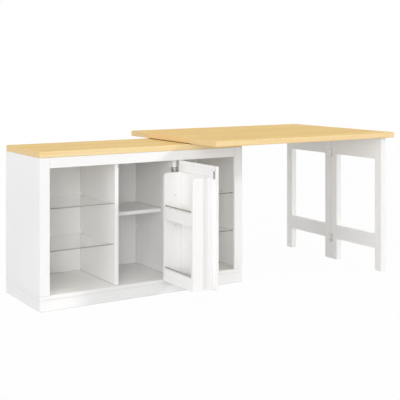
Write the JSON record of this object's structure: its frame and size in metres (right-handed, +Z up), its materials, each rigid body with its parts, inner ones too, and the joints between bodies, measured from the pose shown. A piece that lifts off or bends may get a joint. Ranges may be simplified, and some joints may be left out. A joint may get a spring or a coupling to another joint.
{
  "type": "kitchen island table",
  "caption": "White cabinet with oak worktop, open shelves and a door with a storage rack, and an oak table that slides over it on a folding leg frame.",
  "frame": {"origin": "on the floor, under the middle of the object's bounding box with the table pulled out and the door open at a right angle", "axes": "+X along the front from the cabinet to the leg frame, +Y from front to back, +Z up"},
  "size_m": [2.423, 1.195, 0.938],
  "materials": {
    "white_paint": "satin painted",
    "oiled_oak": "satin oiled, fine straight grain",
    "shelf_glass": "clear, polished edges",
    "satin_steel": "satin",
    "pale_nylon": "matt",
    "channel_aluminium": "anodised"
  },
  "bodies": {
    "cabinet": {"plinth_front": "white_paint", "plinth_back": "white_paint", "plinth_cross_boards": "white_paint", "bottom_board": "white_paint", "side_panel_left": "white_paint", "side_panel_right": "white_paint", "stile_left": "white_paint", "stile_right": "white_paint", "top_rail": "white_paint", "rear_stile_left": "white_paint", "rear_stile_right": "white_paint", "rear_rail": "white_paint", "divider_left": "white_paint", "divider_right": "white_paint", "back_panel": "white_paint", "top_bearers": "white_paint", "worktop": "oiled_oak", "glass_shelf_left_lower": "shelf_glass", "glass_shelf_left_upper": "shelf_glass", "glass_shelf_right_lower": "shelf_glass", "glass_shelf_right_upper": "shelf_glass", "centre_shelf": "white_paint", "shelf_pins": "satin_steel", "door_hinge_frame_leaves": "satin_steel", "door_hinge_pins": "satin_steel", "door_catch": "pale_nylon", "glide_strips": "pale_nylon", "guide_studs": "satin_steel"},
    "door": {"door_panel": "white_paint", "rack_side_near": "white_paint", "rack_side_far": "white_paint", "rack_back": "white_paint", "rack_floor_upper": "white_paint", "rack_floor_lower": "white_paint", "rack_guard_upper": "white_paint", "rack_guard_lower": "white_paint", "rack_rods": "satin_steel", "door_hinge_door_leaves": "satin_steel", "door_catch_plate": "satin_steel"},
    "table": {"table_top": "oiled_oak", "guide_channels": "channel_aluminium", "channel_stops": "pale_nylon", "frame_brackets": "satin_steel", "fixed_leg_outer": "white_paint", "fixed_leg_inner": "white_paint", "fixed_apron": "white_paint", "fixed_stretcher": "white_paint", "fixed_leg_glides": "pale_nylon", "frame_hinge_fixed_leaves": "satin_steel", "frame_hinge_pins": "satin_steel", "gate_catch": "pale_nylon"},
    "leg_gate": {"gate_leg_outer": "white_paint", "gate_leg_inner": "white_paint", "gate_apron": "white_paint", "gate_stretcher": "white_paint", "gate_leg_glides": "pale_nylon", "frame_hinge_gate_leaves": "satin_steel", "gate_catch_plate": "satin_steel"}
  },
  "joints": [
    {"name": "table_slide", "type": "slide", "parent": "cabinet", "child": "table", "axis": [1, 0, 0], "range_m": [-0.885, 0]},
    {"name": "leg_gate_fold", "type": "hinge", "parent": "table", "child": "leg_gate", "pos_m": [1.108, 0.0575, 0.45], "axis": [0, 0, 1], "range_deg": [-180, 0]},
    {"name": "door_swing", "type": "hinge", "parent": "cabinet", "child": "door", "pos_m": [-0.295, -0.172, 0.446], "axis": [0, 0, 1], "range_deg": [-90, 20]}
  ]
}
